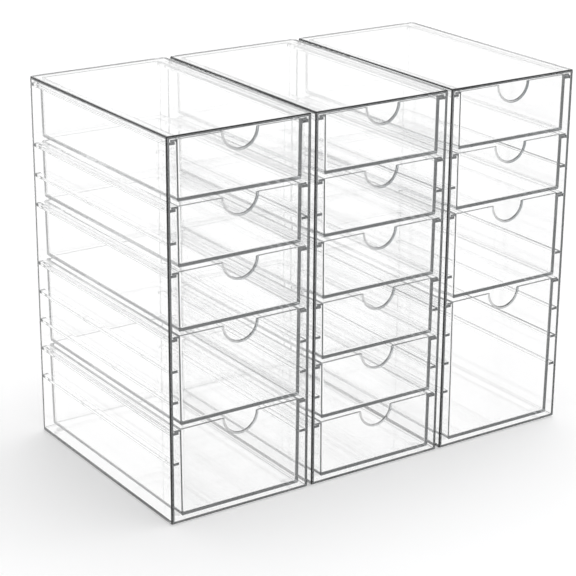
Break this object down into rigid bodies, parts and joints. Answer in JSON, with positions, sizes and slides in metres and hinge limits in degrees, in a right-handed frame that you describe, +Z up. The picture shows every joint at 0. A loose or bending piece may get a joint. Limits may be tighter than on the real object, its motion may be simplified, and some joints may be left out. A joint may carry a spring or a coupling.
{
  "type": "makeup drawer organizer",
  "caption": "Clear acrylic makeup organizer: open-fronted cases side by side, with hanging drawers of mixed heights that slide out by half-round finger notches.",
  "frame": {"origin": "under the middle of the set, on the surface that its pads stand on", "axes": "+X along the row of towers, towards the one with the deepest drawer; +Y from the drawers' fronts towards the closed backs; +Z up"},
  "size_m": [0.428, 0.24, 0.3432],
  "materials": {
    "case_acrylic": "crystal-clear, polished",
    "drawer_acrylic": "crystal-clear, polished",
    "pad_silicone": "clear, slightly milky"
  },
  "bodies": {
    "cases": {"left_case": "case_acrylic", "middle_case": "case_acrylic", "right_case": "case_acrylic", "left_pads": "pad_silicone", "middle_pads": "pad_silicone", "right_pads": "pad_silicone"},
    "left_drawer_1": {"left_drawer_1": "drawer_acrylic"},
    "left_drawer_2": {"left_drawer_2": "drawer_acrylic"},
    "left_drawer_3": {"left_drawer_3": "drawer_acrylic"},
    "left_drawer_4": {"left_drawer_4": "drawer_acrylic"},
    "left_drawer_5": {"left_drawer_5": "drawer_acrylic"},
    "middle_drawer_1": {"middle_drawer_1": "drawer_acrylic"},
    "middle_drawer_2": {"middle_drawer_2": "drawer_acrylic"},
    "middle_drawer_3": {"middle_drawer_3": "drawer_acrylic"},
    "middle_drawer_4": {"middle_drawer_4": "drawer_acrylic"},
    "middle_drawer_5": {"middle_drawer_5": "drawer_acrylic"},
    "middle_drawer_6": {"middle_drawer_6": "drawer_acrylic"},
    "right_drawer_1": {"right_drawer_1": "drawer_acrylic"},
    "right_drawer_2": {"right_drawer_2": "drawer_acrylic"},
    "right_drawer_3": {"right_drawer_3": "drawer_acrylic"},
    "right_drawer_4": {"right_drawer_4": "drawer_acrylic"}
  },
  "joints": [
    {"name": "left_drawer_1_slide", "type": "slide", "parent": "cases", "child": "left_drawer_1", "axis": [0, -1, 0], "range_m": [0, 0.17]},
    {"name": "left_drawer_2_slide", "type": "slide", "parent": "cases", "child": "left_drawer_2", "axis": [0, -1, 0], "range_m": [0, 0.17]},
    {"name": "left_drawer_3_slide", "type": "slide", "parent": "cases", "child": "left_drawer_3", "axis": [0, -1, 0], "range_m": [0, 0.17]},
    {"name": "left_drawer_4_slide", "type": "slide", "parent": "cases", "child": "left_drawer_4", "axis": [0, -1, 0], "range_m": [0, 0.17]},
    {"name": "left_drawer_5_slide", "type": "slide", "parent": "cases", "child": "left_drawer_5", "axis": [0, -1, 0], "range_m": [0, 0.17]},
    {"name": "middle_drawer_1_slide", "type": "slide", "parent": "cases", "child": "middle_drawer_1", "axis": [0, -1, 0], "range_m": [0, 0.17]},
    {"name": "middle_drawer_2_slide", "type": "slide", "parent": "cases", "child": "middle_drawer_2", "axis": [0, -1, 0], "range_m": [0, 0.17]},
    {"name": "middle_drawer_3_slide", "type": "slide", "parent": "cases", "child": "middle_drawer_3", "axis": [0, -1, 0], "range_m": [0, 0.17]},
    {"name": "middle_drawer_4_slide", "type": "slide", "parent": "cases", "child": "middle_drawer_4", "axis": [0, -1, 0], "range_m": [0, 0.17]},
    {"name": "middle_drawer_5_slide", "type": "slide", "parent": "cases", "child": "middle_drawer_5", "axis": [0, -1, 0], "range_m": [0, 0.17]},
    {"name": "middle_drawer_6_slide", "type": "slide", "parent": "cases", "child": "middle_drawer_6", "axis": [0, -1, 0], "range_m": [0, 0.17]},
    {"name": "right_drawer_1_slide", "type": "slide", "parent": "cases", "child": "right_drawer_1", "axis": [0, -1, 0], "range_m": [0, 0.17]},
    {"name": "right_drawer_2_slide", "type": "slide", "parent": "cases", "child": "right_drawer_2", "axis": [0, -1, 0], "range_m": [0, 0.17]},
    {"name": "right_drawer_3_slide", "type": "slide", "parent": "cases", "child": "right_drawer_3", "axis": [0, -1, 0], "range_m": [0, 0.17]},
    {"name": "right_drawer_4_slide", "type": "slide", "parent": "cases", "child": "right_drawer_4", "axis": [0, -1, 0], "range_m": [0, 0.17]}
  ]
}
